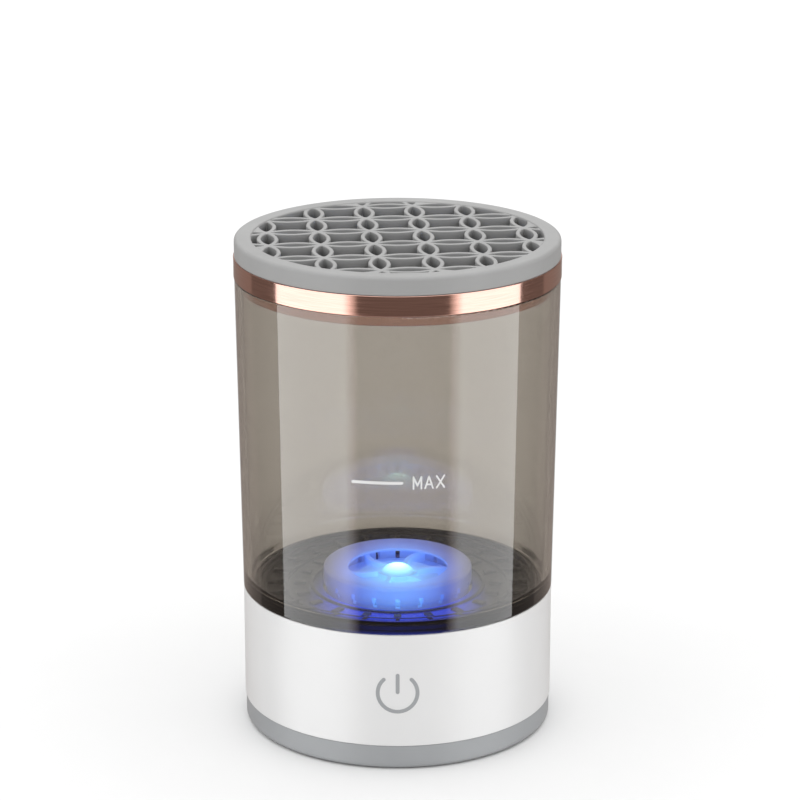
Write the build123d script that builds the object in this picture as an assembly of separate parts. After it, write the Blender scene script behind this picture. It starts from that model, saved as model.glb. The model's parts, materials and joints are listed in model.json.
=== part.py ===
from build123d import *
import math
import os

# Electric make-up brush cleaner: a smoked clear tank stands on a white motor base, a magnet-driven
# impeller spins in a slotted guard on the tank floor, and a soft lattice lid holds the brush handles.
# Units are millimetres. Z is up, the origin is the centre of the face it stands on, the front is -Y.

# ---- outside ----
BASE_R = 47.3            # white motor base
FOOT_R = 47.0            # grey bottom cover
TANK_LOW_R = 47.4        # tank, just above the base
TANK_HIGH_R = 48.9       # tank, at its rim
RING_R = 49.1            # rose-gold trim ring of the lid
CAP_R = 48.8             # soft cap on the trim ring
FOOT_TOP = 7.7           # joint between the bottom cover and the base
BASE_TOP = 43.0          # rim of the base, which the tank stands on
TANK_RIM = 140.5
RING_TOP = 146.6
LID_TOP = 152.2

# ---- lattice of the lid ----
PITCH = 15.5             # node to node
TURN = 4.65              # degrees the lattice is turned from the front
BOW = 2.6                # how far each rib bows out from the line between two nodes
RIB = 1.3                # rib thickness
LATTICE_DEPTH = 8.0
CAP_BORE_R = 43.6        # inside of the cap's rim, where the lattice starts
ARC_R = (PITCH * PITCH / 4 + BOW * BOW) / (2 * BOW)   # centreline of a rib

# ---- tank and impeller ----
TANK_WALL = 2.2
TANK_BOTTOM = 38.6
TANK_FLOOR = 40.8
SPIGOT_R = 44.5          # drops into the base
PIN_R = 1.5
PIN_BOTTOM = 39.6
PIN_TOP = 45.2
WHEEL_R = 19.0
WHEEL_BOTTOM = 41.7
WHEEL_TOP = 43.2
BLADE_TOP = 46.4
BLADES = 6
HUB_R = 6.3
HUB_TOP = 46.2
BUSH_R = 3.0
BUSH_TOP = 45.5
COVER_WASHER = 0.5       # thickness of the washer under the impeller's magnets
GUARD_R = 22.8
GUARD_TOP = 48.8
SLOTS = 20
RIBS = 24

# ---- magnetic coupling, the same circle on both sides ----
MAGNET_R = 3.0
MAGNET_H = 2.0
MAGNET_CIRCLE = 8.2
MAGNETS = 4
MAGNET_START = 45        # degrees from X to the first magnet
POLES = 3                # of the motor's armature
FIT = 0.05               # radial clearance of a running or dropped-in fit

# ---- base, from the bottom up ----
COVER_UNDER = 0.4        # underside of the cover: the non-slip ring stands out below it
COVER_FLOOR = 3.0
COVER_LIP_TOP = 10.5
POST_FOOT = 9.0          # cover bosses meet the housing posts here
BOARD_BOTTOM = 11.0
BOARD_TOP = 12.6
CHASSIS_BOTTOM = 29.6    # the motor hangs from here
CHASSIS_TOP = 31.2
LED_BOARD_BOTTOM = 33.0
LED_BOARD_TOP = 34.2
SHOULDER_TOP = 35.4      # ledge inside the housing
DECK_BOTTOM = 36.2
DECK_STEP = 37.2
DECK_TOP = 38.2
BASE_BORE_R = 44.9
SHOULDER_R = 41.0
COVER_LIP_R = 44.7
COVER_LIP_BORE_R = 43.3
GROOVE_BORE_R = 35.9
GROOVE_R = 43.7
GROOVE_TOP = 1.6
DECK_R = 44.6
WINDOW_R = 21.8
WINDOW_FLANGE_R = 23.3

# ---- motor ----
MOTOR_R = 12.2
MOTOR_BOTTOM = 13.2
SHAFT_R = 1.0
CORE_BOTTOM = 17.0
CORE_TOP = 26.0
NECK_R = 2.2             # front bearing
NECK_BOTTOM = 27.4
NECK_TOP = 31.4
DISC_R = 12.0            # magnet carrier on the shaft
DISC_BOTTOM = 33.0
DISC_TOP = 35.9
END_CAP_BOTTOM = 11.2
TERMINAL_X = 6.0
TERMINAL_BOTTOM = 8.8

# ---- fasteners and electronics ----
SIDES = (1, -1)
POST_PLACES = [(sx * 35.2, sy * 14.2) for sx in SIDES for sy in SIDES]
BOARD_PLACES = [(sx * 16.5, y) for sx in SIDES for y in (23.0, 32.0)]
MOTOR_SCREW_PLACES = [(sx * 8.0, 0) for sx in SIDES]
COVER_SCREW_SEAT = 3.4   # the heads of the cover screws are sunk up to here
LEAD_HOLE = (-14.0, 14.0)
CELL_R = 7.0
CELL_HALF = 24.5
CELL_Y = -25.0
CELL_Z = 12.0
USB_Z = BOARD_TOP + 1.6
TOUCH_Z = 24.8           # centre of the power symbol on the front
PAD_Y = -43.8            # solder tab of the touch electrode
SOCKET_FRONT = 16.0      # wires enter the board's sockets here, at this height
SOCKET_Z = 14.8
WIRE_R = 0.55
WIRE_BEND = 3.3


# ---- helpers ----
def disc(radius, bottom, top, at=(0, 0)):
    """Upright cylinder between two levels."""
    upright = (Align.CENTER, Align.CENTER, Align.MIN)
    return Pos(at[0], at[1], bottom) * Cylinder(radius, top - bottom, align=upright)


def tube(outer, inner, bottom, top):
    """Upright ring between two levels."""
    return disc(outer, bottom, top) - disc(inner, bottom, top)


def block(x0, x1, y0, y1, z0, z1):
    """Box between two corners."""
    return Pos((x0 + x1) / 2, (y0 + y1) / 2, (z0 + z1) / 2) * Box(x1 - x0, y1 - y0, z1 - z0)


def polar(radius, degrees):
    angle = math.radians(degrees)
    return (radius * math.cos(angle), radius * math.sin(angle))


def round_the_axis(shape, count, start=0.0):
    """Copies of a shape, evenly spaced about Z."""
    return [Rot(0, 0, start + 360.0 * i / count) * shape for i in range(count)]


def turned(*corners):
    """Solid of revolution about Z. A corner is (radius, height) or (radius, height, rounding)."""
    face = make_face(Polyline(*[(c[0], 0, c[1]) for c in corners], close=True))
    for corner in corners:
        if len(corner) == 3:
            place = (corner[0], 0, corner[1])
            face = fillet(face.vertices().sort_by_distance(place)[0], corner[2])
    return revolve(face, Axis.Z)


def group(parts):
    """Several separate solids kept in one node."""
    return Compound(children=[solid for part in parts for solid in part.solids()])


def lying(radius, half_length, at):
    """Cylinder along X."""
    return Pos(*at) * Rot(0, 90, 0) * Cylinder(radius, 2 * half_length)


def screw(at, head_r, head_bottom, head_top, shank_r, shank_end):
    """Pan-head screw with a cross recess, driven up or down towards shank_end."""
    recess, bar_length = 0.5, head_r * 1.1
    drives_up = shank_end > head_top
    shank = (head_top, shank_end) if drives_up else (shank_end, head_bottom)
    face = head_bottom if drives_up else head_top - recess
    bar = block(-bar_length / 2, bar_length / 2, -recess / 2, recess / 2, face, face + recess)
    body = disc(head_r, head_bottom, head_top, at) + disc(shank_r, *shank, at)
    return body - [Pos(at[0], at[1], 0) * cut for cut in (bar, Rot(0, 0, 90) * bar)]


def slot_prism(width, height, y0, y1):
    """Stadium-shaped prism along Y at the USB-C port."""
    plane = Plane(origin=(0, y0, USB_Z), x_dir=(1, 0, 0), z_dir=(0, 1, 0))
    return extrude(plane * SlotOverall(width, height), y1 - y0)


def wire(points, bend):
    """Insulated wire: straight runs joined by arcs."""
    path = FilletPolyline(*points, radius=bend)
    return sweep(Plane(origin=path @ 0, z_dir=path % 0) * Circle(WIRE_R), path=path)


# ---- lid ----
def trim_ring():
    """Rose-gold band that rests on the tank rim, with a spigot that centres it in the tank."""
    bore_r, spigot_r, spigot_bottom, edge = 44.6, 46.2, 137.2, 0.25
    return turned(
        (bore_r, spigot_bottom), (spigot_r, spigot_bottom, edge), (spigot_r, TANK_RIM),
        (RING_R, TANK_RIM, edge), (RING_R, RING_TOP, edge), (bore_r, RING_TOP),
    )


def loop_hole():
    """Eye-shaped opening between the two ribs that join neighbouring nodes, along Y."""
    tip_rounding = 0.5
    inner_r = ARC_R - RIB / 2
    side = BOW - RIB / 2
    tip = math.sqrt(inner_r * inner_r - (ARC_R - BOW) ** 2)
    right = ThreePointArc((0, -tip), (side, 0), (0, tip))
    left = ThreePointArc((0, tip), (-side, 0), (0, -tip))
    face = make_face([right, left])
    return fillet(face.vertices(), tip_rounding)


def cell_hole():
    """Four-sided opening in the middle of a lattice cell, its sides bowed in by the loops."""
    corner_rounding = 0.8
    outer_r = ARC_R + RIB / 2
    centre = PITCH / 2 + ARC_R - BOW
    side = centre - outer_r
    corner = (centre - math.sqrt(2 * outer_r * outer_r - centre * centre)) / 2
    corners = [(corner, corner), (-corner, corner), (-corner, -corner), (corner, -corner)]
    sides = [(0, side), (-side, 0), (0, -side), (side, 0)]
    face = make_face([ThreePointArc(corners[i], sides[i], corners[(i + 1) % 4]) for i in range(4)])
    return fillet(face.vertices(), corner_rounding)


def lattice_holes():
    """Every opening of the lattice as a flat face, clipped to the cap's bore."""
    reach = 3
    smallest_area = 5.0
    half = PITCH / 2
    cell, upright = cell_hole(), loop_hole()
    flat = Rot(0, 0, 90) * upright
    holes = []
    for i in range(-reach, reach + 1):
        for j in range(-reach, reach + 1):
            x, y = i * PITCH, j * PITCH
            holes += [Pos(x, y) * cell, Pos(x + half, y) * upright, Pos(x, y + half) * flat]
    clipped = [face for hole in holes for face in (hole & Circle(CAP_BORE_R) or hole).faces()]
    inside = [face for face in clipped if face.center().length < CAP_BORE_R]
    return [Rot(0, 0, TURN) * face for face in inside if face.area > smallest_area]


def lattice_cap():
    """Soft cap: a thick rim over the trim ring, with a springy lattice that grips brush handles."""
    skirt_r, edge, lower_edge, upper_edge = 44.5, 0.5, 0.4, 1.1
    bottom = LID_TOP - LATTICE_DEPTH
    rim = turned(
        (CAP_BORE_R, bottom), (skirt_r, bottom), (skirt_r, RING_TOP), (CAP_R, RING_TOP, lower_edge),
        (CAP_R, LID_TOP, upper_edge), (CAP_BORE_R, LID_TOP, edge),
    )
    web = disc(CAP_BORE_R + edge, bottom, LID_TOP - edge)
    cuts = [Pos(0, 0, bottom) * extrude(face, LATTICE_DEPTH) for face in lattice_holes()]
    return rim + (web - cuts)


# ---- tank ----
def tank_cup():
    """Smoked clear cup with a spigot that drops into the base and a boss for the impeller pin."""
    boss_r, boss_top = 4.0, 41.5
    floor_r, wall_start = 41.6, 47.5
    edge, wall_bend, floor_bend = 0.5, 4.0, 2.0
    cup = turned(
        (0, TANK_BOTTOM), (SPIGOT_R, TANK_BOTTOM, edge), (SPIGOT_R, BASE_TOP),
        (TANK_LOW_R, BASE_TOP, edge), (TANK_HIGH_R, TANK_RIM, edge),
        (TANK_HIGH_R - TANK_WALL, TANK_RIM, edge), (TANK_LOW_R - TANK_WALL, wall_start, wall_bend),
        (floor_r, TANK_FLOOR, floor_bend), (0, TANK_FLOOR),
    )
    return cup + disc(boss_r, TANK_BOTTOM, boss_top) - disc(PIN_R, PIN_BOTTOM, boss_top)


def scrub_ring():
    """Dark mat round the guard: ridges, blocks and ribs that work the bristles, in a stepped rim."""
    bore_r, flat_r, mat_top, step_top, rim_top = 23.2, 40.2, 41.9, 43.6, 45.0
    raised_top, rib_top, ridge_width = 42.8, 43.2, 0.9
    block_in, block_out, block_half = 28.4, 32.0, 1.1
    rib_in, rib_half = 34.5, 0.6
    mat = turned(
        (bore_r, TANK_FLOOR), (flat_r, TANK_FLOOR), (41.4, mat_top), (43.2, rim_top, 0.3),
        (42.0, rim_top, 0.3), (42.0, step_top), (40.7, step_top, 0.3), (flat_r, mat_top),
        (bore_r, mat_top),
    )
    for ridge_r in (26.0, 33.9):
        mat += tube(ridge_r + ridge_width, ridge_r, TANK_FLOOR, raised_top)
    tooth = block(block_in, block_out, -block_half, block_half, TANK_FLOOR, raised_top)
    rib = block(rib_in, flat_r, -rib_half, rib_half, TANK_FLOOR, rib_top)
    return mat + round_the_axis(tooth, SLOTS) + round_the_axis(rib, RIBS)


def impeller_guard():
    """Translucent ring over the impeller's edge, with intake slots that keep bristles out."""
    bore_r, skirt_r, band_bottom, edge, brow = 20.2, 22.0, 43.4, 0.3, 1.1
    lip_r, lip_bottom, lip_top = 15.2, 46.9, 47.9
    slot_half, slot_bottom, slot_top = 0.65, 42.0, 45.2
    guard = turned(
        (bore_r, TANK_FLOOR), (skirt_r, TANK_FLOOR), (skirt_r, band_bottom),
        (GUARD_R, band_bottom, edge), (GUARD_R, GUARD_TOP, brow), (lip_r, lip_top, edge),
        (lip_r, lip_bottom, edge), (bore_r, lip_bottom),
    )
    slot = block(WHEEL_R, GUARD_R + 1, -slot_half, slot_half, slot_bottom, slot_top)
    return guard - round_the_axis(slot, SLOTS)


def pivot_pin():
    """Stainless pin moulded into the tank floor, which the impeller turns on."""
    tip = 0.3
    pin = disc(PIN_R, PIN_BOTTOM, PIN_TOP)
    return chamfer(pin.edges().sort_by(Axis.Z)[-1], tip)


# ---- impeller ----
def impeller():
    """Bladed disc. Its magnet pockets open below and are closed by the magnet cover."""
    box_r, box_top, blade_thickness = 12.4, 44.8, 1.4
    pocket_top = WHEEL_BOTTOM + COVER_WASHER + MAGNET_H
    curve = ThreePointArc((5.5, 0), (11.6, 2.4), (17.6, 1.0))
    blade = Pos(0, 0, WHEEL_BOTTOM) * extrude(SlotArc(curve, blade_thickness), BLADE_TOP - WHEEL_BOTTOM)
    wheel = disc(WHEEL_R, WHEEL_BOTTOM, WHEEL_TOP) + disc(box_r, WHEEL_BOTTOM, box_top)
    wheel += [disc(HUB_R, WHEEL_BOTTOM, HUB_TOP)] + round_the_axis(blade, BLADES)
    wheel -= disc(DISC_R, WHEEL_BOTTOM, WHEEL_BOTTOM + COVER_WASHER)
    pocket = disc(MAGNET_R + FIT, WHEEL_BOTTOM, pocket_top, (MAGNET_CIRCLE, 0))
    return wheel - round_the_axis(pocket, MAGNETS, MAGNET_START) - disc(BUSH_R, WHEEL_BOTTOM, BUSH_TOP)


def impeller_bush():
    """Bearing bush with running clearance on the pivot pin."""
    return tube(BUSH_R, PIN_R + FIT, WHEEL_BOTTOM, BUSH_TOP)


def impeller_magnets():
    bottom = WHEEL_BOTTOM + COVER_WASHER
    magnet = disc(MAGNET_R, bottom, bottom + MAGNET_H, (MAGNET_CIRCLE, 0))
    return group(round_the_axis(magnet, MAGNETS, MAGNET_START))


def magnet_cover():
    """Thin washer welded under the magnets."""
    gap = 0.1
    return tube(DISC_R - gap, BUSH_R + gap, WHEEL_BOTTOM, WHEEL_BOTTOM + COVER_WASHER)


def hub_lens():
    """Clear dome on the hub that gathers the light from below."""
    lens_r, lens_height, dome_r = 5.0, 2.2, 6.75
    dome = Pos(0, 0, HUB_TOP + lens_height - dome_r) * Sphere(dome_r)
    return dome & disc(lens_r, HUB_TOP, HUB_TOP + lens_height)


# ---- rotor: armature, shaft and drive disc ----
def motor_shaft():
    bottom, top = 12.0, 35.6
    return disc(SHAFT_R, bottom, top)


def armature_core():
    """Three-pole laminated core."""
    shoe_outer, shoe_inner, hub_r, pole_half, gap_half = 8.5, 7.0, 3.0, 1.3, 1.0
    overlap, first_gap, first_pole = 0.5, 30, 90
    pole = block(0, shoe_inner + overlap, -pole_half, pole_half, CORE_BOTTOM, CORE_TOP)
    gap = block(hub_r, shoe_outer + overlap, -gap_half, gap_half, CORE_BOTTOM, CORE_TOP)
    shoes = tube(shoe_outer, shoe_inner, CORE_BOTTOM, CORE_TOP)
    shoes -= round_the_axis(gap, POLES, first_gap)
    core = disc(hub_r, CORE_BOTTOM, CORE_TOP) + round_the_axis(pole, POLES, first_pole) + shoes
    return core - disc(SHAFT_R, CORE_BOTTOM, CORE_TOP)


def armature_windings():
    """Copper coil round each pole."""
    coil_in, coil_out, coil_half, opening_half, over, first_pole = 3.3, 6.3, 2.7, 1.35, 1.0, 90
    coil = block(coil_in, coil_out, -coil_half, coil_half, CORE_BOTTOM - over, CORE_TOP + over)
    coil -= block(
        coil_in, coil_out, -opening_half, opening_half, CORE_BOTTOM - FIT, CORE_TOP + FIT,
    )
    return group(round_the_axis(coil, POLES, first_pole))


def commutator():
    radius, bottom, top = 2.4, 15.0, 15.9
    return tube(radius, SHAFT_R, bottom, top)


def drive_disc():
    """Magnet carrier pressed on the motor shaft."""
    neck_r, neck_bottom = 3.4, 31.9
    carrier = disc(neck_r, neck_bottom, DISC_TOP) + disc(DISC_R, DISC_BOTTOM, DISC_TOP)
    pocket = disc(MAGNET_R + FIT, DISC_TOP - MAGNET_H, DISC_TOP, (MAGNET_CIRCLE, 0))
    return carrier - round_the_axis(pocket, MAGNETS, MAGNET_START) - disc(SHAFT_R, neck_bottom, DISC_TOP)


def drive_magnets():
    magnet = disc(MAGNET_R, DISC_TOP - MAGNET_H, DISC_TOP, (MAGNET_CIRCLE, 0))
    return group(round_the_axis(magnet, MAGNETS, MAGNET_START))


# ---- base: shells ----
def base_housing():
    """White shell with the ledge for the deck, four screw posts and the USB-C recess at the back."""
    post_r, post_top, screw_r, screw_top = 3.4, 29.2, 1.4, 20.0
    web_in, web_out, web_half, gap = 39.0, 45.4, 1.0, 0.3
    lower_edge, rim_edge = 0.3, 0.5
    shell = turned(
        (BASE_R, FOOT_TOP, lower_edge), (BASE_R, BASE_TOP, rim_edge),
        (BASE_BORE_R, BASE_TOP, lower_edge), (BASE_BORE_R, SHOULDER_TOP),
        (SHOULDER_R, SHOULDER_TOP), (SHOULDER_R, CHASSIS_TOP),
        (BASE_BORE_R, CHASSIS_TOP), (BASE_BORE_R, FOOT_TOP),
    )
    for x, y in POST_PLACES:
        web = block(web_in, web_out, -web_half, web_half, COVER_LIP_TOP + gap, post_top)
        shell += Rot(0, 0, math.degrees(math.atan2(y, x))) * web
        shell += disc(post_r, POST_FOOT, post_top, (x, y))
        shell -= disc(screw_r, POST_FOOT, screw_top, (x, y))
    port, recess = slot_prism(9.6, 3.9, 43.0, BASE_R), slot_prism(12.6, 6.6, 46.2, BASE_R)
    return shell - port - recess


def bottom_cover():
    """Grey tray that closes the base and carries the battery and the board."""
    under_edge, top_edge = 1.4, 0.3
    cover = turned(
        (0, COVER_UNDER), (FOOT_R, COVER_UNDER, under_edge), (FOOT_R, FOOT_TOP, top_edge),
        (COVER_LIP_R, FOOT_TOP), (COVER_LIP_R, COVER_LIP_TOP), (COVER_LIP_BORE_R, COVER_LIP_TOP),
        (COVER_LIP_BORE_R, COVER_FLOOR), (0, COVER_FLOOR),
    )
    boss_r, head_r, screw_r = 4.4, 3.0, 1.6
    for place in POST_PLACES:
        cover += disc(boss_r, COVER_UNDER, POST_FOOT, place)
        cover -= disc(head_r, COVER_UNDER, COVER_SCREW_SEAT, place)
        cover -= disc(screw_r, COVER_SCREW_SEAT, POST_FOOT, place)
    board_boss_r, board_screw_r, board_screw_end = 3.0, 1.0, 5.5
    for place in BOARD_PLACES:
        cover += disc(board_boss_r, COVER_UNDER, BOARD_BOTTOM, place)
        cover -= disc(board_screw_r, board_screw_end, BOARD_BOTTOM, place)
    return cover - tube(GROOVE_R, GROOVE_BORE_R, COVER_UNDER, GROOVE_TOP)


def non_slip_ring():
    """Soft ring in the cover's groove, which the cleaner stands on. It hides the screws."""
    gap, edge = 0.1, 0.3
    inner, outer = GROOVE_BORE_R + gap, GROOVE_R - gap
    return turned((inner, 0, edge), (outer, 0, edge), (outer, GROOVE_TOP), (inner, GROOVE_TOP))


def cover_screws():
    head_r, head_bottom, shank_r, end = 2.6, 1.7, 1.35, 18.0
    places = POST_PLACES
    return group([screw(p, head_r, head_bottom, COVER_SCREW_SEAT, shank_r, end) for p in places])


def deck_boss_places():
    circle = 34.0
    return [polar(circle, angle) for angle in (45, 135, 225, 315)]


def lamp_screw_places():
    circle = 21.0
    return [polar(circle, angle) for angle in (30, 150, 270)]


def deck_plate():
    """Dark deck under the tank, with a stepped hole for the light window."""
    gap, boss_r, screw_r, screw_top = 0.1, 3.2, 1.2, 35.0
    deck = disc(DECK_R, DECK_BOTTOM, DECK_TOP)
    deck -= disc(WINDOW_R + gap, DECK_BOTTOM, DECK_STEP)
    deck -= disc(WINDOW_FLANGE_R + gap, DECK_STEP, DECK_TOP)
    for place in deck_boss_places():
        deck += disc(boss_r, CHASSIS_TOP, DECK_STEP, place)
        deck -= disc(screw_r, CHASSIS_TOP, screw_top, place)
    return deck


def deck_gasket():
    gap = 0.2
    return tube(DECK_R, SHOULDER_R + gap, SHOULDER_TOP, DECK_BOTTOM)


def light_window():
    """Frosted clear window over the lamps."""
    return disc(WINDOW_R, DECK_BOTTOM, DECK_TOP) + disc(WINDOW_FLANGE_R, DECK_STEP, DECK_TOP)


def chassis_plate():
    """Plate that clamps the deck to the ledge and holds the motor and the lamp board."""
    plate_r, neck_hole, deck_screw, motor_screw, lead_hole = 42.6, 3.2, 1.4, 1.1, 1.8
    stud_r, stud_hole = 1.9, 0.8
    studs = lamp_screw_places()
    plate = disc(plate_r, CHASSIS_BOTTOM, CHASSIS_TOP)
    plate += [disc(stud_r, CHASSIS_BOTTOM, LED_BOARD_BOTTOM, place) for place in studs]
    plate -= [disc(stud_hole, CHASSIS_TOP, LED_BOARD_BOTTOM, place) for place in studs]
    holes = [(deck_screw, place) for place in deck_boss_places()]
    holes += [(motor_screw, place) for place in MOTOR_SCREW_PLACES]
    holes += [(lead_hole, LEAD_HOLE), (neck_hole, (0, 0))]
    return plate - [disc(radius, CHASSIS_BOTTOM, CHASSIS_TOP, place) for radius, place in holes]


def chassis_screws():
    head_r, head_bottom, shank_r, end = 2.3, 27.8, 1.2, 34.8
    places = deck_boss_places()
    return group([screw(p, head_r, head_bottom, CHASSIS_BOTTOM, shank_r, end) for p in places])


# ---- base: lamps ----
def led_board():
    outer_r, inner_r, screw_r = 23.0, 13.5, 1.0
    board = tube(outer_r, inner_r, LED_BOARD_BOTTOM, LED_BOARD_TOP)
    places = lamp_screw_places()
    return board - [disc(screw_r, LED_BOARD_BOTTOM, LED_BOARD_TOP, place) for place in places]


def led_board_screws():
    head_r, head_top, shank_r, end = 1.6, 35.2, 0.8, 31.6
    places = lamp_screw_places()
    return group([screw(p, head_r, LED_BOARD_TOP, head_top, shank_r, end) for p in places])


def leds():
    """Six surface-mounted lamps on the ring board."""
    lamp_circle, half_length, half_width, top, dimple_r, dimple = 18.2, 1.8, 1.4, 35.6, 1.0, 0.4
    inside, outside = lamp_circle - half_length, lamp_circle + half_length
    lamp = block(inside, outside, -half_width, half_width, LED_BOARD_TOP, top)
    lamp -= disc(dimple_r, top - dimple, top, (lamp_circle, 0))
    return group(round_the_axis(lamp, 6))


# ---- base: motor ----
def motor_can():
    """Drawn steel can with a bearing boss that centres it in the chassis."""
    can_wall, roof_bottom, boss_r, screw_r = 1.0, 28.4, 3.1, 1.0
    can = disc(MOTOR_R, MOTOR_BOTTOM, CHASSIS_BOTTOM)
    can -= disc(MOTOR_R - can_wall, MOTOR_BOTTOM, roof_bottom)
    can += disc(boss_r, roof_bottom, NECK_TOP)
    can -= [disc(screw_r, roof_bottom, CHASSIS_BOTTOM, place) for place in MOTOR_SCREW_PLACES]
    return can - disc(NECK_R, roof_bottom, NECK_TOP)


def motor_bushing():
    return tube(NECK_R, SHAFT_R + FIT, NECK_BOTTOM, NECK_TOP)


def motor_end_cap():
    """Plastic end of the motor, with the rear bearing."""
    plug_r, plug_top, shaft_hole_bottom = 11.1, 14.6, 11.8
    cap = disc(MOTOR_R, END_CAP_BOTTOM, MOTOR_BOTTOM) + disc(plug_r, END_CAP_BOTTOM, plug_top)
    return cap - disc(SHAFT_R + FIT, shaft_hole_bottom, plug_top)


def motor_terminals():
    half_thickness, half_width = 0.3, 1.1
    tag = block(
        -half_thickness, half_thickness, -half_width, half_width, TERMINAL_BOTTOM, END_CAP_BOTTOM,
    )
    return group([Pos(side * TERMINAL_X, 0, 0) * tag for side in SIDES])


def motor_magnets():
    """Two arc magnets inside the can."""
    outer_r, inner_r, bottom, top, gap_half = 11.15, 9.0, 16.0, 27.0, 3.5
    ring = tube(outer_r, inner_r, bottom, top)
    return group([ring - block(-gap_half, gap_half, -MOTOR_R, MOTOR_R, bottom, top)])


def motor_screws():
    head_r, head_top, shank_r, end = 1.9, 32.4, 0.98, 28.6
    places = MOTOR_SCREW_PLACES
    return group([screw(p, head_r, CHASSIS_TOP, head_top, shank_r, end) for p in places])


# ---- base: electronics ----
def main_board():
    half_width, front, back, corner_r, screw_r = 20.0, 14.5, 43.0, 42.8, 1.2
    board = block(-half_width, half_width, front, back, BOARD_BOTTOM, BOARD_TOP)
    board &= disc(corner_r, BOARD_BOTTOM, BOARD_TOP)
    return board - [disc(screw_r, BOARD_BOTTOM, BOARD_TOP, place) for place in BOARD_PLACES]


def on_the_board(x, y, side, height):
    """Square component standing on the board."""
    return block(x, x + side, y, y + side, BOARD_TOP, BOARD_TOP + height)


def board_components():
    """Controller, charger, coil, two capacitors and three resistors."""
    chip_height, coil_height, capacitor_r, capacitor_height = 1.0, 3.0, 2.0, 5.0
    resistor, resistor_height = 1.2, 0.6
    parts = [on_the_board(-3.0, 25.0, 6.0, chip_height), on_the_board(7.5, 30.5, 4.0, chip_height)]
    parts += [on_the_board(6.0, 22.8, 6.0, coil_height)]
    for place in ((-7.0, 25.5), (-11.6, 25.5)):
        parts += [disc(capacitor_r, BOARD_TOP, BOARD_TOP + capacitor_height, place)]
    for x in (-12.0, -9.5, -7.0):
        parts += [on_the_board(x, 33.5, resistor, resistor_height)]
    return group(parts)


def board_connectors():
    """Wire sockets along the front edge of the board: lamps and touch key, motor, battery."""
    top, back = 16.8, 20.5
    spans = ((-13.0, -6.0), (-4.0, 4.0), (7.0, 13.0))
    return group([block(x0, x1, SOCKET_FRONT, back, BOARD_TOP, top) for x0, x1 in spans])


def board_screws():
    head_r, head_top, shank_r, end = 1.9, 13.8, 0.95, 6.0
    places = BOARD_PLACES
    return group([screw(p, head_r, BOARD_TOP, head_top, shank_r, end) for p in places])


def usb_port_shell():
    width, height, wall, front, back = 8.94, 3.2, 0.32, 38.6, 46.0
    bore = slot_prism(width - 2 * wall, height - 2 * wall, front + wall, back)
    return slot_prism(width, height, front, back) - bore


def usb_port_tongue():
    half_width, half_thickness, front, back = 3.3, 0.35, 38.92, 45.0
    low, high = USB_Z - half_thickness, USB_Z + half_thickness
    return block(-half_width, half_width, front, back, low, high)


def touch_electrode():
    """Copper pad behind the power symbol, curved to the wall, with a solder tab."""
    pad_r, thickness, tab = 6.0, 0.4, 1.2
    coin = Plane(origin=(0, -BASE_R, TOUCH_Z), z_dir=(0, 1, 0)) * Circle(pad_r)
    wall = tube(BASE_BORE_R - FIT, BASE_BORE_R - thickness, TOUCH_Z - pad_r, TOUCH_Z + pad_r)
    tab_back = -BASE_BORE_R + thickness
    solder_tab = block(-tab, tab, tab_back, PAD_Y, TOUCH_Z - tab, TOUCH_Z + tab)
    return (wall & extrude(coin, BASE_R)) + solder_tab


def battery_cell():
    nub_r, nub, edge = 2.0, 0.6, 0.5
    cell = lying(CELL_R, CELL_HALF, (0, CELL_Y, CELL_Z))
    return fillet(cell.edges(), edge) + lying(nub_r, nub, (CELL_HALF, CELL_Y, CELL_Z))


def battery_cradle():
    """Trough on the cover's floor."""
    half_x, half_y, top, gap, end_gap = 26.5, 8.0, 9.5, 0.15, 0.7
    trough = block(-half_x, half_x, CELL_Y - half_y, CELL_Y + half_y, COVER_FLOOR, top)
    return trough - lying(CELL_R + gap, CELL_HALF + end_gap, (0, CELL_Y, CELL_Z))


# ---- base: wiring, held inside ----
def motor_leads():
    """From the motor's terminals, under its end cap and up to the middle socket."""
    low, front, x_in, bends = 5.2, 13.0, 2.0, [1.6, 2.6, 1.1]
    leads = []
    for side in SIDES:
        leads.append(wire([
            (side * TERMINAL_X, 0, TERMINAL_BOTTOM), (side * TERMINAL_X, 0, low),
            (side * x_in, front, low), (side * x_in, front, SOCKET_Z),
            (side * x_in, SOCKET_FRONT, SOCKET_Z),
        ], bends))
    return group(leads)


def battery_leads():
    """One lead from each end of the cell. The far one runs along the front of the motor."""
    side_x, end_y, front_y = 30.0, CELL_Y + 3, -14.9
    near_x, far_x, motor_x = 11.4, 8.8, 23.0
    near = [
        (CELL_HALF, end_y, SOCKET_Z), (side_x, end_y, SOCKET_Z), (side_x, 4, SOCKET_Z),
        (near_x, 12.2, SOCKET_Z), (near_x, SOCKET_FRONT, SOCKET_Z),
    ]
    far = [
        (-CELL_HALF, end_y, SOCKET_Z), (-side_x, end_y, SOCKET_Z), (-side_x, front_y, SOCKET_Z),
        (motor_x, front_y, SOCKET_Z), (motor_x, 3, SOCKET_Z), (far_x, 10.2, SOCKET_Z),
        (far_x, SOCKET_FRONT, SOCKET_Z),
    ]
    return group([wire(near, WIRE_BEND), wire(far, WIRE_BEND)])


def led_leads():
    """From the lamp board, through the chassis and beside the motor to the board."""
    (x, y), run_x, bend = LEAD_HOLE, -8.0, 2.2
    return group([wire([
        (x, y, LED_BOARD_BOTTOM), (x, y, 20), (run_x, 10.5, SOCKET_Z),
        (run_x, SOCKET_FRONT, SOCKET_Z),
    ], bend)])


def touch_lead():
    """Runs from the front over the battery and round the motor to the board."""
    run_x = -11.0
    return group([wire([
        (0, PAD_Y, TOUCH_Z), (0, -36, TOUCH_Z), (-27, -24, 22.5), (-27, 2, 19),
        (run_x, 9.5, SOCKET_Z), (run_x, SOCKET_FRONT, SOCKET_Z),
    ], WIRE_BEND)])


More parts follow.
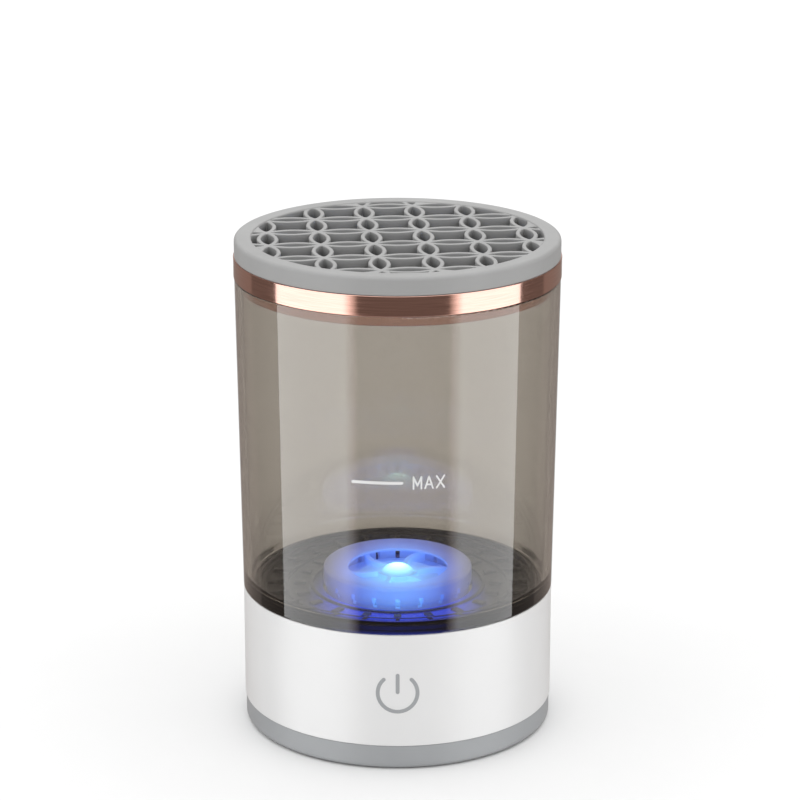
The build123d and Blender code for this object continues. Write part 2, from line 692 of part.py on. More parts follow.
NODES = [
    trim_ring, lattice_cap,
    tank_cup, scrub_ring, impeller_guard, pivot_pin,
    impeller, impeller_bush, impeller_magnets, magnet_cover, hub_lens,
    motor_shaft, armature_core, armature_windings, commutator, drive_disc, drive_magnets,
    base_housing, bottom_cover, non_slip_ring, cover_screws, deck_plate, deck_gasket, light_window,
    chassis_plate, chassis_screws, led_board, led_board_screws, leds,
    motor_can, motor_bushing, motor_end_cap, motor_terminals, motor_magnets, motor_screws,
    main_board, board_components, board_connectors, board_screws, usb_port_shell, usb_port_tongue,
    touch_electrode, battery_cell, battery_cradle,
    motor_leads, battery_leads, led_leads, touch_lead,
]

os.makedirs("parts", exist_ok=True)
for node in NODES:
    export_step(node(), f"parts/{node.__name__}.step")
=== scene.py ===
import json
import math

import bmesh
import bpy
from mathutils import Matrix, Vector


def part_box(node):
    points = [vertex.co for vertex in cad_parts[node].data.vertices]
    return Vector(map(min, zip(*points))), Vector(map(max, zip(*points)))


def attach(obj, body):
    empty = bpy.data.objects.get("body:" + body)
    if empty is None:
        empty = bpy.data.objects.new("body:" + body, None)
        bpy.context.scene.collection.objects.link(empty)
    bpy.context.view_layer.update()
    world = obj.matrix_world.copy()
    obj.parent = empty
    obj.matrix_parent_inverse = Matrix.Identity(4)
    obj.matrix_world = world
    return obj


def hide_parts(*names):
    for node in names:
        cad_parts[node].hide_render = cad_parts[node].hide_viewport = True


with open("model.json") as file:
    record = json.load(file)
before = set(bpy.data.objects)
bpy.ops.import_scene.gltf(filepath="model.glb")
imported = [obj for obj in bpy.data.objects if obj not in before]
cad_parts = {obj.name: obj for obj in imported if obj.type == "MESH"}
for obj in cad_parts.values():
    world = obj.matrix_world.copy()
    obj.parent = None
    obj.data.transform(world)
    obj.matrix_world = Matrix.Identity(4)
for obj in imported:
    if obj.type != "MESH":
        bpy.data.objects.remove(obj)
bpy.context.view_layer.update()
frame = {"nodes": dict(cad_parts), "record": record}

MM = 0.001
NODES = frame["nodes"]
TAU = 2 * math.pi


# ---- places, read from the frame ----
def low(node):
    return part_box(node)[0]


def high(node):
    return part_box(node)[1]


LID_TOP = high("lattice_cap").z
LID_BOTTOM = low("lattice_cap").z
LID_R = high("lattice_cap").x
BORE_R = LID_R - 5.2 * MM                     # inside of the cap's rim, round the lattice
RING_TOP = high("trim_ring").z
TANK_RIM = high("tank_cup").z
TANK_R = high("tank_cup").x
BASE_R = high("base_housing").x
BASE_TOP = high("base_housing").z
LENS_BOTTOM = low("hub_lens").z
MAT_TOP = low("scrub_ring").z + 1.1 * MM      # flat of the mat, below its ribs and its rim
MAT_RIM = high("scrub_ring").x - 2.8 * MM     # where the stepped rim starts


# ---- materials ----
def new_material(name):
    material = bpy.data.materials.new(name)
    material.use_nodes = True
    tree = material.node_tree
    return material, tree, tree.nodes["Principled BSDF"]


def noise(tree, scale, detail=4.0, stretch=None):
    """Noise in object space. Scale is in features per metre; stretch squeezes it along an axis."""
    texture = tree.nodes.new("ShaderNodeTexNoise")
    texture.inputs["Scale"].default_value = scale
    texture.inputs["Detail"].default_value = detail
    place = tree.nodes.new("ShaderNodeTexCoord").outputs["Object"]
    if stretch:
        mapping = tree.nodes.new("ShaderNodeMapping")
        mapping.inputs["Scale"].default_value = stretch
        tree.links.new(place, mapping.inputs["Vector"])
        place = mapping.outputs["Vector"]
    tree.links.new(place, texture.inputs["Vector"])
    return texture.outputs["Fac"]


def ramp(tree, value, low_stop, high_stop, low_colour, high_colour):
    """A smooth change from one colour to the other as the value passes between two stops."""
    node = tree.nodes.new("ShaderNodeValToRGB")
    first, last = node.color_ramp.elements
    first.position, last.position = low_stop, high_stop
    first.color, last.color = (*low_colour, 1), (*high_colour, 1)
    tree.links.new(value, node.inputs["Fac"])
    return node.outputs["Color"]


def span(tree, value, low_out, high_out, low_in=0.35, high_in=0.65, blend="LINEAR"):
    """Maps a value from one range onto another, clamped at both ends."""
    node = tree.nodes.new("ShaderNodeMapRange")
    node.interpolation_type = blend
    node.inputs["From Min"].default_value = low_in
    node.inputs["From Max"].default_value = high_in
    node.inputs["To Min"].default_value = low_out
    node.inputs["To Max"].default_value = high_out
    tree.links.new(value, node.inputs["Value"])
    return node.outputs["Result"]


def bump(tree, bsdf, height, depth, strength=1.0):
    node = tree.nodes.new("ShaderNodeBump")
    node.inputs["Distance"].default_value = depth
    node.inputs["Strength"].default_value = strength
    tree.links.new(height, node.inputs["Height"])
    tree.links.new(node.outputs["Normal"], bsdf.inputs["Normal"])


def shade(colour, factor):
    return tuple(min(1.0, c * factor) for c in colour)


def moulded(name, colour, rough, grain=2500.0, depth=12e-6, variation=0.05):
    """Moulded plastic or rubber: fine grain, slightly uneven colour, and handling marks.

    Grain is in features per metre, depth in metres, and variation is a share of the colour.
    """
    material, tree, bsdf = new_material(name)
    cloud = noise(tree, 60.0, 3.0)
    tone = ramp(tree, cloud, 0.3, 0.7, shade(colour, 1 - variation), shade(colour, 1 + variation))
    tree.links.new(tone, bsdf.inputs["Base Color"])
    wear = span(tree, noise(tree, 25.0, 5.0), rough * 0.85, rough * 1.15)
    tree.links.new(wear, bsdf.inputs["Roughness"])
    bump(tree, bsdf, noise(tree, grain, 2.0), depth, 0.5)
    return material, tree, bsdf


def metal(name, colour, rough, streaks=(1.0, 1.0, 30.0), scale=400.0):
    """Drawn or turned metal with fine tool marks."""
    material, tree, bsdf = new_material(name)
    marks = noise(tree, scale, 6.0, streaks)
    tone = ramp(tree, marks, 0.35, 0.65, shade(colour, 0.92), shade(colour, 1.05))
    tree.links.new(tone, bsdf.inputs["Base Color"])
    tree.links.new(span(tree, marks, rough * 0.7, rough * 1.3), bsdf.inputs["Roughness"])
    bsdf.inputs["Metallic"].default_value = 1.0
    bump(tree, bsdf, marks, 4e-6, 0.3)
    return material


def clear_plastic(name, surface, body, density):
    """Clear tinted plastic: it darkens with thickness, with faint ripples and a hard gloss coat."""
    material, tree, bsdf = new_material(name)
    tint = ramp(tree, noise(tree, 12.0, 2.0), 0.3, 0.7, shade(surface, 0.985), shade(surface, 1.015))
    tree.links.new(tint, bsdf.inputs["Base Color"])
    absorption = tree.nodes.new("ShaderNodeVolumeAbsorption")
    absorption.inputs["Color"].default_value = (*body, 1)
    absorption.inputs["Density"].default_value = density
    tree.links.new(absorption.outputs["Volume"], tree.nodes["Material Output"].inputs["Volume"])
    bsdf.inputs["Transmission Weight"].default_value = 1.0
    bsdf.inputs["Roughness"].default_value = 0.0
    bsdf.inputs["IOR"].default_value = 1.5
    bsdf.inputs["Coat Weight"].default_value = 1.0
    bsdf.inputs["Coat IOR"].default_value = 1.45
    bump(tree, bsdf, noise(tree, 18.0, 1.0), 8e-6, 0.2)
    return material


def place_in_object(tree):
    return tree.nodes.new("ShaderNodeTexCoord").outputs["Object"]


def distance_from(tree, centre, squash=(1.0, 1.0, 1.0)):
    """Distance of the surface from a point, in metres, with each axis scaled."""
    offset = tree.nodes.new("ShaderNodeVectorMath")
    offset.operation = "SUBTRACT"
    offset.inputs[1].default_value = centre
    scaled = tree.nodes.new("ShaderNodeVectorMath")
    scaled.operation = "MULTIPLY"
    scaled.inputs[1].default_value = squash
    length = tree.nodes.new("ShaderNodeVectorMath")
    length.operation = "LENGTH"
    tree.links.new(place_in_object(tree), offset.inputs[0])
    tree.links.new(offset.outputs["Vector"], scaled.inputs[0])
    tree.links.new(scaled.outputs["Vector"], length.inputs[0])
    return length.outputs["Value"]


def distance_from_axis(tree):
    return distance_from(tree, (0, 0, 0), (1, 1, 0))


def height(tree):
    split = tree.nodes.new("ShaderNodeSeparateXYZ")
    tree.links.new(place_in_object(tree), split.inputs["Vector"])
    return split.outputs["Z"]


def combine(tree, operation, first, second):
    """Two values combined by one of the Math node's operations."""
    node = tree.nodes.new("ShaderNodeMath")
    node.operation = operation
    tree.links.new(first, node.inputs[0])
    tree.links.new(second, node.inputs[1])
    return node.outputs["Value"]


def darken(tree, bsdf, factor):
    """Scales the base colour by a value that varies over the surface."""
    scaled = tree.nodes.new("ShaderNodeVectorMath")
    scaled.operation = "SCALE"
    tree.links.new(bsdf.inputs["Base Color"].links[0].from_socket, scaled.inputs[0])
    tree.links.new(factor, scaled.inputs["Scale"])
    tree.links.new(scaled.outputs["Vector"], bsdf.inputs["Base Color"])


# Colours of the lamps' glow on the lens and of the painted glow on the guard and the mat.
BLUE = (0.05, 0.14, 1.0)
DEEP_BLUE = (0.03, 0.08, 1.0)
CYAN = (0.14, 0.48, 1.0)
PALE_CYAN = (0.42, 0.95, 1.0)
FORWARD = (1.25, 0.8, 0.6)            # the painted glow on the guard and the mat reaches further to the front than to the sides


def hub_glow(tree, bsdf, offset, near, far, strength, core, edge, squash=FORWARD):
    """Emission bright near a point by the hub, then fading: the lamps' own glow on the lens, and a
    painted glow for the lamps' light scattered inside the guard and the mat.
    """
    centre = (0, -offset, LENS_BOTTOM)
    share = span(tree, distance_from(tree, centre, squash), 0.0, 1.0, near, far)
    colour = ramp(tree, share, 0.0, 0.6, core, edge)
    fade = span(tree, share, strength, 0.0, 0.0, 1.0, "SMOOTHERSTEP")
    tree.links.new(colour, bsdf.inputs["Emission Color"])
    tree.links.new(fade, bsdf.inputs["Emission Strength"])
    return fade


def smoked_clear():
    """Smoke-brown tank."""
    return clear_plastic("smoked_clear", surface=(0.86, 0.85, 0.83), body=(0.50, 0.45, 0.38),
                         density=345.0)


def milky_clear():
    """Milky guard with a painted glow for the lamps' light from below, stronger above its foot."""
    material, tree, bsdf = moulded("milky_clear", (0.80, 0.82, 0.87), 0.35, 900.0, 8e-6, 0.03)
    bsdf.inputs["Transmission Weight"].default_value = 0.25
    bsdf.inputs["IOR"].default_value = 1.45
    # painted blue glow, brightest near the hub and fading outwards
    fade = hub_glow(tree, bsdf, offset=5 * MM, near=5 * MM, far=34 * MM, strength=1.35,
                        core=CYAN, edge=BLUE)
    # the painted glow is dimmer at the guard's foot, by the mat
    upper = span(tree, height(tree), 0.35, 1.0, MAT_TOP, MAT_TOP + 3.5 * MM)
    tree.links.new(combine(tree, "MULTIPLY", fade, upper), bsdf.inputs["Emission Strength"])
    return material


def lens_clear():
    """Clear dome over the lamps, the brightest spot."""
    material, tree, bsdf = moulded("lens_clear", (0.8, 0.95, 1.0), 0.15, 900.0, 4e-6, 0.02)
    hub_glow(tree, bsdf, offset=0, near=0.5 * MM, far=8 * MM, strength=5.0,
                 core=PALE_CYAN, edge=CYAN, squash=(1.0, 1.0, 0.5))
    return material


def grey_silicone():
    """Soft grey cap. The walls inside its cells get painted shade, darker with depth."""
    material, tree, bsdf = moulded("grey_silicone", (0.29, 0.29, 0.288), 0.55, 2200.0, 12e-6, 0.04)
    # painted shade: the colour falls to half from just under the top to 4.5 mm down, and the rim
    # outside the bore keeps its colour
    painted_cell_shade = span(tree, height(tree), 0.5, 1.0, LID_TOP - 4.5 * MM, LID_TOP - 0.6 * MM)
    outside = span(tree, distance_from_axis(tree), 0.0, 1.0, BORE_R, BORE_R + 0.5 * MM)
    darken(tree, bsdf, combine(tree, "MAXIMUM", painted_cell_shade, outside))
    return material


def rose_gold():
    return metal("rose_gold", (0.74, 0.46, 0.39), rough=0.10, streaks=(1.0, 1.0, 40.0), scale=90.0)


def dark_mat():
    """Dark moulded mat with a painted blue glow from the lamps on its flats and its edge, not on its
    blocks.
    """
    material, tree, bsdf = moulded("dark_plastic", (0.022, 0.022, 0.024), 0.4, 1800.0, 15e-6, 0.2)
    # painted glow, fading away from the hub
    fade = hub_glow(tree, bsdf, offset=14 * MM, near=14 * MM, far=38 * MM, strength=1.3,
                        core=DEEP_BLUE, edge=DEEP_BLUE)
    flat = span(tree, height(tree), 1.0, 0.06, MAT_TOP + 0.1 * MM, MAT_TOP + 0.5 * MM)
    rim = span(tree, distance_from_axis(tree), 0.0, 0.8, MAT_RIM, MAT_RIM + 0.3 * MM)
    # where the painted glow shows: the mat's flats and its stepped rim
    painted_glow_mask = combine(tree, "MAXIMUM", flat, rim)
    tree.links.new(combine(tree, "MULTIPLY", fade, painted_glow_mask), bsdf.inputs["Emission Strength"])
    return material


def white_shell():
    """Glossy white housing. Below a roughness of 0.28, denoising would draw faint lines on it."""
    material, tree, bsdf = moulded("white_shell", (0.70, 0.70, 0.70), 0.34, 3000.0, 6e-6, 0.01)
    bsdf.inputs["Specular IOR Level"].default_value = 0.9
    return material


def plastic(slot, colour, rough, grain, depth, variation):
    """A plain moulded finish, made when it is called. The numbers are those of moulded()."""
    return lambda: moulded(slot, colour, rough, grain, depth, variation)[0]


MATERIALS = {
    "white_shell": white_shell,
    "grey_foot": plastic("grey_foot", (0.315, 0.325, 0.335), 0.45, 2600.0, 14e-6, 0.03),
    "grey_silicone": grey_silicone,
    "dark_rubber": plastic("dark_rubber", (0.05, 0.05, 0.052), 0.75, 1500.0, 30e-6, 0.12),
    "rose_gold": rose_gold,
    "smoked_clear": smoked_clear,
    "dark_plastic": dark_mat,
    "milky_clear": milky_clear,
    "lens_clear": lens_clear,
    "white_plastic": plastic("white_plastic", (0.62, 0.62, 0.60), 0.5, 1800.0, 15e-6, 0.05),
    "green_board": plastic("green_board", (0.02, 0.13, 0.05), 0.35, 700.0, 20e-6, 0.15),
    "black_parts": plastic("black_parts", (0.025, 0.025, 0.027), 0.45, 1500.0, 18e-6, 0.2),
    "lamp_body": plastic("lamp_body", (0.8, 0.79, 0.68), 0.35, 1500.0, 8e-6, 0.05),
    "steel": lambda: metal("steel", (0.56, 0.57, 0.58), 0.3),
    "magnet_plate": lambda: metal("magnet_plate", (0.66, 0.65, 0.62), 0.2),
    "ferrite": plastic("ferrite", (0.06, 0.06, 0.065), 0.65, 1200.0, 30e-6, 0.15),
    "brass": lambda: metal("brass", (0.72, 0.53, 0.24), 0.28),
    "copper": lambda: metal("copper", (0.78, 0.38, 0.22), 0.25, (1.0, 1.0, 8.0), 900.0),
    "cell_wrap": plastic("cell_wrap", (0.03, 0.14, 0.42), 0.25, 300.0, 25e-6, 0.08),
    "red_wire": plastic("red_wire", (0.45, 0.02, 0.02), 0.45, 900.0, 15e-6, 0.1),
    "black_wire": plastic("black_wire", (0.02, 0.02, 0.02), 0.45, 900.0, 15e-6, 0.2),
    "white_wire": plastic("white_wire", (0.7, 0.7, 0.67), 0.45, 900.0, 15e-6, 0.05),
}
FINISH = {slot: make() for slot, make in MATERIALS.items()}


def dress_frame():
    """Gives every CAD node the finish of its material slot."""
    for part in frame["record"]["subparts"]:
        node = NODES[part["node"]]
        node.data.materials.clear()
        node.data.materials.append(FINISH[part["material_slot"]])


def dress(piece, slot, body, replaced=()):
    """Gives a new piece its finish and fixes it to a body."""
    piece.data.materials.clear()
    piece.data.materials.append(FINISH[slot])
    if replaced:
        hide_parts(*replaced)
    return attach(piece, body)


# ---- outlines and meshes ----
STEP = 0.2 * MM            # spacing of points along a curve
WELD = 0.001 * MM          # points closer than this are joined
SHARP = math.radians(50)   # shading is smooth across any edge that bends less


def mesh_from(builder, name):
    mesh = bpy.data.meshes.new(name)
    builder.to_mesh(mesh)
    builder.free()
    return mesh


def add_object(name, data):
    thing = bpy.data.objects.new(name, data)
    bpy.context.scene.collection.objects.link(thing)
    return thing


def arc(centre, radius, start, end):
    """Points along an arc, both ends included, about one step apart."""
    count = max(2, round(abs(end - start) * radius / STEP))
    angles = [start + (end - start) * i / count for i in range(count + 1)]
    middle = Vector(centre)
    return [middle + Vector((math.cos(a), math.sin(a))) * radius for a in angles]


def soften(points, rounds):
    """Rounds the corners of an outline and evens out its spacing."""
    for _ in range(rounds):
        count = len(points)
        after = points[1:] + points[:1]
        points = [(points[i - 1] + 2 * points[i] + after[i]) / 4 for i in range(count)]
    return points


def area_of(points):
    return abs(sum(points[i - 1].cross(points[i]) for i in range(len(points)))) / 2


def plate_with_holes(name, outer_r, holes, bottom, top, rounding):
    """A flat moulded plate with rounded edges on its rim and round each hole."""
    curve = bpy.data.curves.new(name, "CURVE")
    curve.dimensions = "2D"
    curve.fill_mode = "BOTH"
    curve.extrude = (top - bottom) / 2 - rounding
    curve.bevel_depth = rounding
    curve.bevel_resolution = 1
    curve.offset = -rounding
    outer = arc((0, 0), outer_r, 0, -TAU)[1:]
    for points in [outer] + holes:
        spline = curve.splines.new("POLY")
        spline.points.add(len(points) - 1)
        for point, place in zip(spline.points, points):
            point.co = (place.x, place.y, 0, 1)
        spline.use_cyclic_u = True
    maker = add_object(name + "_curve", curve)
    bpy.context.view_layer.update()
    built = maker.evaluated_get(bpy.context.evaluated_depsgraph_get())
    mesh = bpy.data.meshes.new_from_object(built)
    bpy.data.objects.remove(maker)
    mesh.transform(Matrix.Translation((0, 0, (top + bottom) / 2)))
    return mesh


def lathe(name, profile, sides=256):
    """Closed mesh turned about Z from a closed outline of (radius, height) points."""
    builder = bmesh.new()
    rings = []
    for i in range(sides):
        turn = Matrix.Rotation(TAU * i / sides, 3, "Z")
        rings.append([builder.verts.new(turn @ Vector((r, 0, z))) for r, z in profile])
    for i in range(sides):
        here, after = rings[i - 1], rings[i]
        for k in range(len(profile)):
            builder.faces.new((here[k - 1], after[k - 1], after[k], here[k]))
    bmesh.ops.recalc_face_normals(builder, faces=builder.faces)
    return mesh_from(builder, name)


def rounded_outline(*corners):
    """Outline of (radius, height, rounding) corners with each corner turned into an arc."""
    parts = 6
    places = [Vector(corner[:2]) for corner in corners]
    points = []
    for i, here in enumerate(places):
        before = (places[i - 1] - here).normalized()
        after = (places[(i + 1) % len(places)] - here).normalized()
        setback = corners[i][2] / math.tan(before.angle(after) / 2)
        if setback == 0:
            points.append(here)
            continue
        start, end = here + before * setback, here + after * setback
        for t in (k / parts for k in range(parts + 1)):
            points.append(start * (1 - t) ** 2 + here * 2 * t * (1 - t) + end * t ** 2)
    return points


def finish_mesh(mesh, name):
    """Object with smooth shading, sharp only across hard edges."""
    builder = bmesh.new()
    builder.from_mesh(mesh)
    bmesh.ops.remove_doubles(builder, verts=builder.verts, dist=WELD)
    bmesh.ops.recalc_face_normals(builder, faces=builder.faces)
    builder.to_mesh(mesh)
    builder.free()
    mesh.polygons.foreach_set("use_smooth", [True] * len(mesh.polygons))
    mesh.set_sharp_from_angle(angle=SHARP)
    piece = add_object(name, mesh)
    normals = piece.modifiers.new("even_shading", "WEIGHTED_NORMAL")
    normals.keep_sharp = True
    return piece


# ---- soft lattice cap ----
PITCH = 15.5 * MM        # between the crossings of the ribs
TURN = math.radians(4.65)
BOW = 2.6 * MM           # how far a rib bows out between two crossings
RIB = 1.3 * MM           # thickness of a rib
ARC_R = (PITCH ** 2 / 4 + BOW ** 2) / (2 * BOW)


def loop_outline():
    """The eye-shaped hole between two ribs, along Y, anticlockwise."""
    inner_r = ARC_R - RIB / 2
    reach = math.acos((ARC_R - BOW) / inner_r)
    right = arc((BOW - ARC_R, 0), inner_r, -reach, reach)
    return right[:-1] + [-p for p in right[:-1]]


def cell_outline():
    """The four-sided hole in the middle of a cell, anticlockwise."""
    outer_r = ARC_R + RIB / 2
    centre = PITCH / 2 + ARC_R - BOW
    corner = (centre - math.sqrt(2 * outer_r ** 2 - centre ** 2)) / 2
    reach = math.asin(corner / outer_r)
    side = arc((centre, 0), outer_r, math.pi + reach, math.pi - reach)
    quarter = Matrix.Rotation(math.pi / 2, 2)
    points = []
    for _ in range(4):
        points += side[:-1]
        side = [quarter @ p for p in side]
    return points


def clip_to_bore(points):
    """The part of an outline inside the cap's bore, closed along the bore."""
    within = [p.length < BORE_R for p in points]
    crossing = [i for i in range(len(points)) if within[i] and not within[i - 1]]
    if not crossing:
        return points if points[0].length < BORE_R else []
    points = points[crossing[0]:] + points[:crossing[0]]
    kept = [p for p in points if p.length < BORE_R]
    first, last = (math.atan2(p.y, p.x) for p in (kept[0], kept[-1]))
    turn = (first - last + math.pi) % TAU - math.pi
    return kept + arc((0, 0), BORE_R, last, last + turn)[1:-1]


def lattice_outlines():
    """Every hole of the lattice, clipped to the bore and with rounded corners."""
    reach, rounds = 3, 5
    fewest_points, smallest_area = 9, 2.5 * MM * MM
    cell, upright = cell_outline(), loop_outline()
    flat = [Vector((-p.y, p.x)) for p in upright]
    turn = Matrix.Rotation(TURN, 2)
    half = PITCH / 2
    outlines = []
    for i in range(-reach, reach + 1):
        for j in range(-reach, reach + 1):
            x, y = i * PITCH, j * PITCH
            for place, shape in (((x, y), cell), ((x + half, y), upright), ((x, y + half), flat)):
                points = clip_to_bore([turn @ (Vector(place) + p) for p in shape])
                if len(points) >= fewest_points and area_of(points) > smallest_area:
                    outlines.append(soften(points, rounds))
    return outlines


def make_lattice_cap():
    """The soft cap as one moulding: rim and springy web, every edge rounded."""
    edge, overlap, sunk, skirt_r = 0.3 * MM, 0.6 * MM, 0.35 * MM, 44.5 * MM
    web = plate_with_holes("web", BORE_R + overlap, lattice_outlines(), LID_BOTTOM,
                           LID_TOP - sunk, edge)
    rim = lathe("rim", rounded_outline(
        (BORE_R, LID_BOTTOM, 0.2 * MM), (skirt_r, LID_BOTTOM, 0.2 * MM), (skirt_r, RING_TOP, 0),
        (LID_R, RING_TOP, 0.35 * MM), (LID_R, LID_TOP, 1.3 * MM), (BORE_R, LID_TOP, 0.7 * MM),
    ))
    for mesh, name in ((web, "lattice_web"), (rim, "lattice_rim")):
        dress(finish_mesh(mesh, name), "grey_silicone", "lid", ["lattice_cap"])


# ---- marks on the tank and the base ----
INK = 0.02 * MM          # thickness of the print
LIFT = 0.01 * MM         # kept clear of the wall
ROUND_END = [math.radians(degrees) for degrees in range(12, 90, 12)]


def tank_radius(z):
    """Outside of the tank's tapered wall."""
    low_r = BASE_R + 0.1 * MM
    share = (z - BASE_TOP) / (TANK_RIM - BASE_TOP)
    return low_r + (TANK_R - low_r) * share


def wrap_to_wall(flat, radius_at):
    """Bends a flat mesh, drawn in X and Z, onto a wall of revolution at the front."""
    for vertex in flat.vertices:
        x, raised, z = vertex.co
        radius = radius_at(z) + LIFT + raised
        angle = x / radius_at(z)
        vertex.co = (radius * math.sin(angle), -radius * math.cos(angle), z)


def ribbon_sections(path, half_width):
    """Pairs of points on the two sides of a path of 2-D points, with round ends."""
    last = len(path) - 1
    sections = []
    for i, here in enumerate(path):
        along = (path[min(i + 1, last)] - path[max(i - 1, 0)]).normalized()
        turns = [0.0]
        if i == 0:
            turns = [-turn for turn in reversed(ROUND_END)] + turns
        if i == last:
            turns = turns + ROUND_END
        for turn in turns:
            centre = here + along * half_width * math.sin(turn)
            side = Vector((-along.y, along.x)) * half_width * math.cos(turn)
            sections.append((centre + side, centre - side))
    return sections


def add_ribbon(builder, sections):
    """A thin closed strip in X and Z, all of short quads, so that it can follow a round wall."""
    rings = []
    for left, right in sections:
        corners = ((left, INK), (right, INK), (right, 0), (left, 0))
        rings.append([builder.verts.new((p.x, raised, p.y)) for p, raised in corners])
    for near, far in zip(rings, rings[1:]):
        for k in range(len(near)):
            builder.faces.new((near[k - 1], near[k], far[k], far[k - 1]))
    builder.faces.new(rings[0])
    builder.faces.new(rings[-1])


def straight(start, end):
    parts = 24
    return [Vector(start).lerp(Vector(end), i / parts) for i in range(parts + 1)]


def print_lines(name, paths, width, radius_at, slot, body):
    """Printed line work on a wall, each path a thin ribbon with round ends."""
    builder = bmesh.new()
    for path in paths:
        add_ribbon(builder, ribbon_sections(path, width / 2))
    mesh = mesh_from(builder, name)
    wrap_to_wall(mesh, radius_at)
    return dress(finish_mesh(mesh, name), slot, body)


def letter(corners, left, bottom, width, tall):
    """Strokes of a letter from pairs of corners in a unit square."""
    places = [(left + u * width, bottom + v * tall) for u, v in corners]
    return [straight(places[i], places[i + 1]) for i in range(0, len(places), 2)]


def make_fill_mark():
    """White printed fill line on the front of the tank, with its word."""
    level, start, end = 90.5 * MM, -13.1 * MM, 1.2 * MM
    line = straight((start, level), (end, level))
    print_lines("fill_line", [line], 0.9 * MM, tank_radius, "white_shell", "tank")
    bottom, tall, width = 88.7 * MM, 3.6 * MM, 2.3 * MM
    strokes = letter([(0, 0), (0, 1), (0, 1), (0.5, 0.25), (0.5, 0.25), (1, 1), (1, 1), (1, 0)],
                     4.6 * MM, bottom, width, tall)
    strokes += letter([(0, 0), (0.5, 1), (0.5, 1), (1, 0), (0.17, 0.33), (0.83, 0.33)],
                      8.0 * MM, bottom, width, tall)
    strokes += letter([(0, 0), (1, 1), (0, 1), (1, 0)], 11.4 * MM, bottom, width, tall)
    print_lines("fill_word", strokes, 0.5 * MM, tank_radius, "white_shell", "tank")


def make_power_symbol():
    """Grey printed touch symbol on the front of the base: an open ring with a bar in the gap."""
    centre, radius, width = 24.75 * MM, 5.9 * MM, 1.15 * MM
    gap = math.radians(44)
    ring = arc((0, centre), radius, math.pi / 2 + gap, math.pi / 2 + TAU - gap)
    bar = straight((0, centre + 0.3 * MM), (0, centre + 5.6 * MM))
    print_lines("power_symbol", [ring, bar], width, lambda z: BASE_R, "grey_foot", "base")


# ---- stage, light and camera ----
def make_floor():
    """Plain pale floor. Reflections leave it out, so the object's sides stay clean."""
    size = 6.0
    mesh = bpy.data.meshes.new("floor")
    corners = [(-size, -size, 0), (size, -size, 0), (size, size, 0), (-size, size, 0)]
    mesh.from_pydata(corners, [], [(0, 1, 2, 3)])
    floor = add_object("floor", mesh)
    material, tree, bsdf = moulded("floor_paper", (0.72, 0.72, 0.72), 0.9, 400.0, 5e-6, 0.003)
    bsdf.inputs["Specular IOR Level"].default_value = 0.1
    mesh.materials.append(material)
    floor.visible_glossy = False


def make_world():
    """White studio, brighter overhead than at the horizon."""
    world = bpy.data.worlds.new("studio")
    world.use_nodes = True
    tree = world.node_tree
    background = tree.nodes["Background"]
    split = tree.nodes.new("ShaderNodeSeparateXYZ")
    tree.links.new(tree.nodes.new("ShaderNodeTexCoord").outputs["Generated"], split.inputs["Vector"])
    tree.links.new(span(tree, split.outputs["Z"], 0.6, 1.9, 0.0, 1.0), background.inputs["Strength"])
    background.inputs["Color"].default_value = (1, 1, 1, 1)
    bpy.context.scene.world = world


def place_on_circle(azimuth, distance, level):
    """Azimuth in degrees from the camera's side (-Y), positive towards +X."""
    angle = math.radians(azimuth)
    return Vector((distance * math.sin(angle), -distance * math.cos(angle), level))


def make_softbox(name, azimuth, width, power):
    """Upright soft light that faces the object. Reflections show the surround in its place."""
    tall, distance, level = 1.4, 1.5, 0.9
    light = bpy.data.lights.new(name, "AREA")
    light.shape = "RECTANGLE"
    light.size, light.size_y = width, tall
    light.energy = power
    lamp = add_object(name, light)
    lamp.location = place_on_circle(azimuth, distance, level)
    inwards = -place_on_circle(azimuth, distance, 0)
    lamp.rotation_euler = inwards.to_track_quat("-Z", "Y").to_euler()
    lamp.visible_camera = False
    lamp.visible_glossy = False
    lamp.visible_transmission = False


WARM = (1.0, 0.84, 0.75)
WHITE = (1.0, 1.0, 1.0)
FLAG, SIDE, PANEL = 0.17, 0.28, 2.1
SURROUND = (        # first and last azimuth from the camera's side, and the brightness at each
    (-165, -121, SIDE, SIDE), (-121, -92, FLAG, FLAG), (-92, -37, PANEL, PANEL),
    (-37, -27, PANEL, FLAG), (-27, 35, FLAG, FLAG), (35, 45, FLAG, PANEL),
    (45, 93, PANEL, PANEL), (93, 121, FLAG, FLAG), (121, 165, SIDE, SIDE),
)


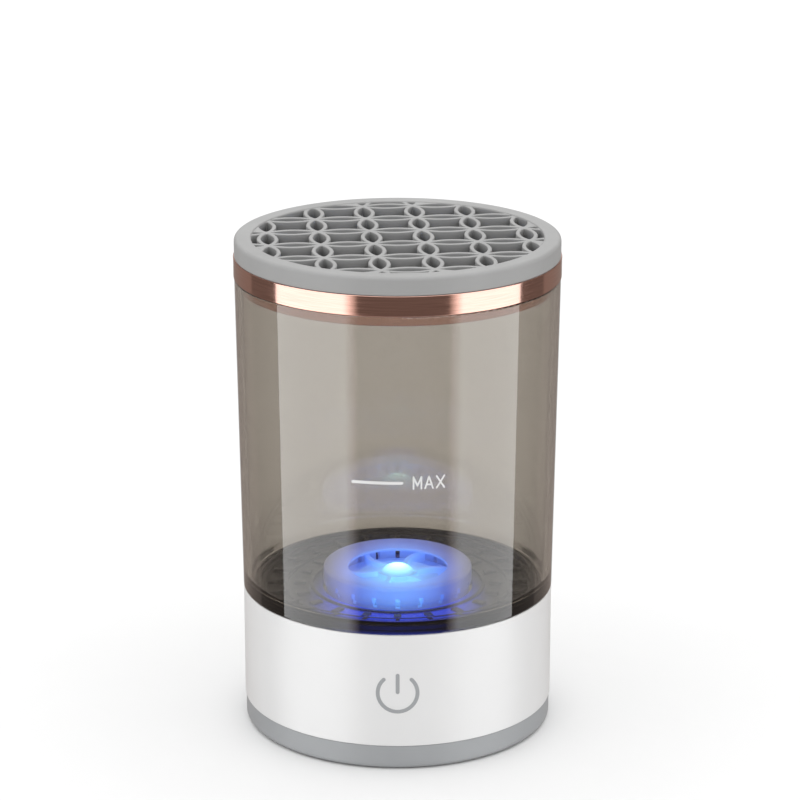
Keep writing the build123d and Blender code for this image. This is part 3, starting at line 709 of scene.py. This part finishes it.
def make_surround():
    """Round wall of bright panels and dark flags that only shows in reflections."""
    parts, distance, bottom, top = 12, 1.4, -1.5, 1.6
    builder = bmesh.new()
    glow = builder.verts.layers.float.new("glow")
    for first, last, brightness_first, brightness_last in SURROUND:
        edges = []
        for share in (i / parts for i in range(parts + 1)):
            azimuth = first + (last - first) * share
            edge = [builder.verts.new(place_on_circle(azimuth, distance, z)) for z in (bottom, top)]
            for vertex in edge:
                vertex[glow] = brightness_first + (brightness_last - brightness_first) * share
            edges.append(edge)
        for here, after in zip(edges, edges[1:]):
            builder.faces.new((here[0], after[0], after[1], here[1]))
    mesh = mesh_from(builder, "surround")
    material, tree, bsdf = new_material("surround")
    bsdf.inputs["Base Color"].default_value = (0, 0, 0, 1)
    bsdf.inputs["Specular IOR Level"].default_value = 0
    attribute = tree.nodes.new("ShaderNodeAttribute")
    attribute.attribute_name = "glow"
    brightness = attribute.outputs["Fac"]
    warmth = ramp(tree, span(tree, brightness, 0.0, 1.0, SIDE, PANEL), 0.0, 1.0, WARM, WHITE)
    tree.links.new(warmth, bsdf.inputs["Emission Color"])
    tree.links.new(brightness, bsdf.inputs["Emission Strength"])
    mesh.materials.append(material)
    wall = add_object("surround", mesh)
    for ray in ("camera", "diffuse", "transmission", "shadow", "volume_scatter"):
        setattr(wall, "visible_" + ray, False)


def make_camera():
    """Camera at the photograph's angle, fitted to the ellipses of the object's outline."""
    distance, level, tilt = 0.88932, 0.37636, 17.217
    camera = bpy.data.cameras.new("camera")
    camera.sensor_width = 36.0
    camera.lens = 138.36
    camera.shift_x = 0.003
    view = add_object("camera", camera)
    view.location = (0, -distance, level)
    view.rotation_euler = (math.radians(90 - tilt), 0, 0)
    bpy.context.scene.camera = view


def make_studio():
    bounces = 16
    make_floor()
    make_world()
    make_surround()
    make_softbox("key_left", azimuth=-62, width=1.2, power=2)
    make_softbox("key_right", azimuth=66, width=1.0, power=1.5)
    scene = bpy.context.scene
    scene.view_settings.view_transform = "Standard"
    scene.cycles.use_denoising = True
    scene.cycles.max_bounces = bounces
    scene.cycles.transmission_bounces = bounces
    scene.cycles.transparent_max_bounces = bounces


dress_frame()
make_lattice_cap()
make_fill_mark()
make_power_symbol()
make_studio()
make_camera()
